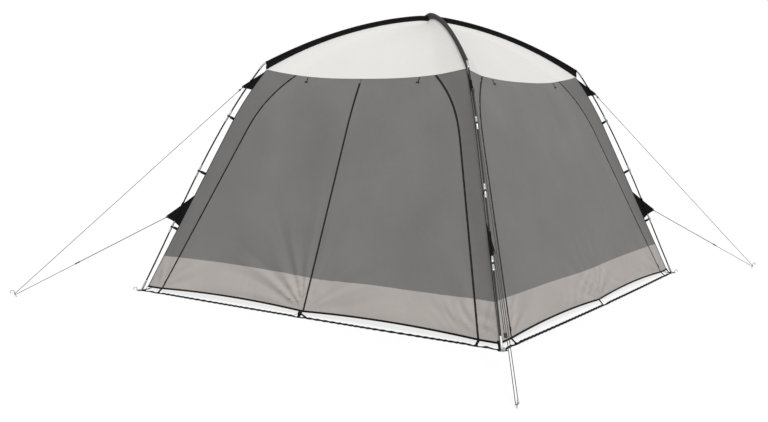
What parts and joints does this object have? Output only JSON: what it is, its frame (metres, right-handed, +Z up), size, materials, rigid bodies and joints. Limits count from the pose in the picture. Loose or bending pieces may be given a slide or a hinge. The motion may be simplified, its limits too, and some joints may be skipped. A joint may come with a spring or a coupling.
{
  "type": "beach shelter",
  "caption": "Dome beach shelter on crossed bent poles, with a clipped-on canopy, zipped doors that lift on every side, ground webbing, pegs and guylines with runners",
  "frame": {"origin": "on the ground, in the middle of the four pole feet", "axes": "+Z up; the wall with the centre zip faces -Y; +X to the right of someone who faces that wall"},
  "size_m": [4.1296, 4.761, 2.054],
  "materials": {
    "roof_cloth": "coated polyester, off-white",
    "wall_cloth": "coated polyester, mid grey above a warm light grey skirt",
    "sleeve_cloth": "black polyester pole sleeve",
    "webbing": "black webbing, zip tape and trim",
    "fibreglass": "dark fibreglass with steel ferrules",
    "steel": "zinc-plated steel",
    "black_plastic": "moulded, matt",
    "line": "braided polyester cord, light grey"
  },
  "bodies": {
    "root": {"leg_pole_front_left": "fibreglass", "shoulder_elbow_front_left": "steel", "pole_foot_front_left": "steel", "corner_binding_front_left": "webbing", "guyline_front_left": "line", "guy_peg_front_left": "steel", "leg_pole_front_right": "fibreglass", "shoulder_elbow_front_right": "steel", "pole_foot_front_right": "steel", "corner_binding_front_right": "webbing", "guyline_front_right": "line", "guy_peg_front_right": "steel", "leg_pole_back_right": "fibreglass", "shoulder_elbow_back_right": "steel", "pole_foot_back_right": "steel", "corner_binding_back_right": "webbing", "guyline_back_right": "line", "guy_peg_back_right": "steel", "leg_pole_back_left": "fibreglass", "shoulder_elbow_back_left": "steel", "pole_foot_back_left": "steel", "corner_binding_back_left": "webbing", "guyline_back_left": "line", "guy_peg_back_left": "steel", "roof_front": "roof_cloth", "wall_surround_front": "wall_cloth", "roof_right": "roof_cloth", "wall_surround_right": "wall_cloth", "roof_back": "roof_cloth", "wall_surround_back": "wall_cloth", "roof_left": "roof_cloth", "wall_surround_left": "wall_cloth", "arch_pole_a": "fibreglass", "sleeve_a": "sleeve_cloth", "arch_pole_b": "fibreglass", "sleeve_b": "sleeve_cloth", "ground_web": "webbing"},
    "door_front_left": {"door_front_left_leaf": "wall_cloth", "door_front_left_edging": "webbing"},
    "door_front_right": {"door_front_right_leaf": "wall_cloth", "door_front_right_edging": "webbing"},
    "door_right": {"door_right_leaf": "wall_cloth", "door_right_edging": "webbing"},
    "door_back": {"door_back_leaf": "wall_cloth", "door_back_edging": "webbing"},
    "door_left": {"door_left_leaf": "wall_cloth", "door_left_edging": "webbing"},
    "zip_slider_front_left": {"zip_slider_front_left": "steel"},
    "zip_slider_front_centre": {"zip_slider_front_centre": "steel"},
    "zip_slider_front_right": {"zip_slider_front_right": "steel"},
    "zip_slider_right_front": {"zip_slider_right_front": "steel"},
    "zip_slider_right_back": {"zip_slider_right_back": "steel"},
    "zip_slider_back_right": {"zip_slider_back_right": "steel"},
    "zip_slider_back_left": {"zip_slider_back_left": "steel"},
    "zip_slider_left_back": {"zip_slider_left_back": "steel"},
    "zip_slider_left_front": {"zip_slider_left_front": "steel"},
    "runner_front_left": {"runner_front_left": "black_plastic"},
    "runner_front_right": {"runner_front_right": "black_plastic"},
    "runner_back_right": {"runner_back_right": "black_plastic"},
    "runner_back_left": {"runner_back_left": "black_plastic"}
  },
  "joints": [
    {"name": "door_front_left_lift", "type": "hinge", "parent": "root", "child": "door_front_left", "pos_m": [0, -0.85048, 1.508], "axis": [-1, 0, 0], "range_deg": [0, 70]},
    {"name": "door_front_right_lift", "type": "hinge", "parent": "root", "child": "door_front_right", "pos_m": [0, -0.85048, 1.508], "axis": [-1, 0, 0], "range_deg": [0, 70]},
    {"name": "door_right_lift", "type": "hinge", "parent": "root", "child": "door_right", "pos_m": [0.85048, 0, 1.508], "axis": [0, -1, 0], "range_deg": [0, 70]},
    {"name": "door_back_lift", "type": "hinge", "parent": "root", "child": "door_back", "pos_m": [0, 0.85048, 1.508], "axis": [1, 0, 0], "range_deg": [0, 70]},
    {"name": "door_left_lift", "type": "hinge", "parent": "root", "child": "door_left", "pos_m": [-0.85048, 0, 1.508], "axis": [0, 1, 0], "range_deg": [0, 70]},
    {"name": "zip_slider_front_left_slide", "type": "slide", "parent": "door_front_left", "child": "zip_slider_front_left", "axis": [0.3232, 0.3513, 0.8787], "range_m": [0, 1.145]},
    {"name": "zip_slider_front_centre_slide", "type": "slide", "parent": "door_front_left", "child": "zip_slider_front_centre", "axis": [0, 0.3712, 0.9285], "range_m": [0, 1.083]},
    {"name": "zip_slider_front_right_slide", "type": "slide", "parent": "door_front_right", "child": "zip_slider_front_right", "axis": [-0.3232, 0.3513, 0.8787], "range_m": [0, 1.145]},
    {"name": "zip_slider_right_front_slide", "type": "slide", "parent": "door_right", "child": "zip_slider_right_front", "axis": [-0.3513, 0.3232, 0.8787], "range_m": [0, 1.145]},
    {"name": "zip_slider_right_back_slide", "type": "slide", "parent": "door_right", "child": "zip_slider_right_back", "axis": [-0.3513, -0.3232, 0.8787], "range_m": [0, 1.145]},
    {"name": "zip_slider_back_right_slide", "type": "slide", "parent": "door_back", "child": "zip_slider_back_right", "axis": [-0.3232, -0.3513, 0.8787], "range_m": [0, 1.145]},
    {"name": "zip_slider_back_left_slide", "type": "slide", "parent": "door_back", "child": "zip_slider_back_left", "axis": [0.3232, -0.3513, 0.8787], "range_m": [0, 1.145]},
    {"name": "zip_slider_left_back_slide", "type": "slide", "parent": "door_left", "child": "zip_slider_left_back", "axis": [0.3513, -0.3232, 0.8787], "range_m": [0, 1.145]},
    {"name": "zip_slider_left_front_slide", "type": "slide", "parent": "door_left", "child": "zip_slider_left_front", "axis": [0.3513, 0.3232, 0.8787], "range_m": [0, 1.145]},
    {"name": "runner_front_left_slide", "type": "slide", "parent": "root", "child": "runner_front_left", "axis": [0.5805, 0.6751, 0.4552], "range_m": [0, 0.25]},
    {"name": "runner_front_right_slide", "type": "slide", "parent": "root", "child": "runner_front_right", "axis": [-0.5132, 0.7608, 0.3972], "range_m": [0, 0.25]},
    {"name": "runner_back_right_slide", "type": "slide", "parent": "root", "child": "runner_back_right", "axis": [-0.5805, -0.6751, 0.4552], "range_m": [0, 0.25]},
    {"name": "runner_back_left_slide", "type": "slide", "parent": "root", "child": "runner_back_left", "axis": [0.5132, -0.7608, 0.3972], "range_m": [0, 0.25]}
  ]
}
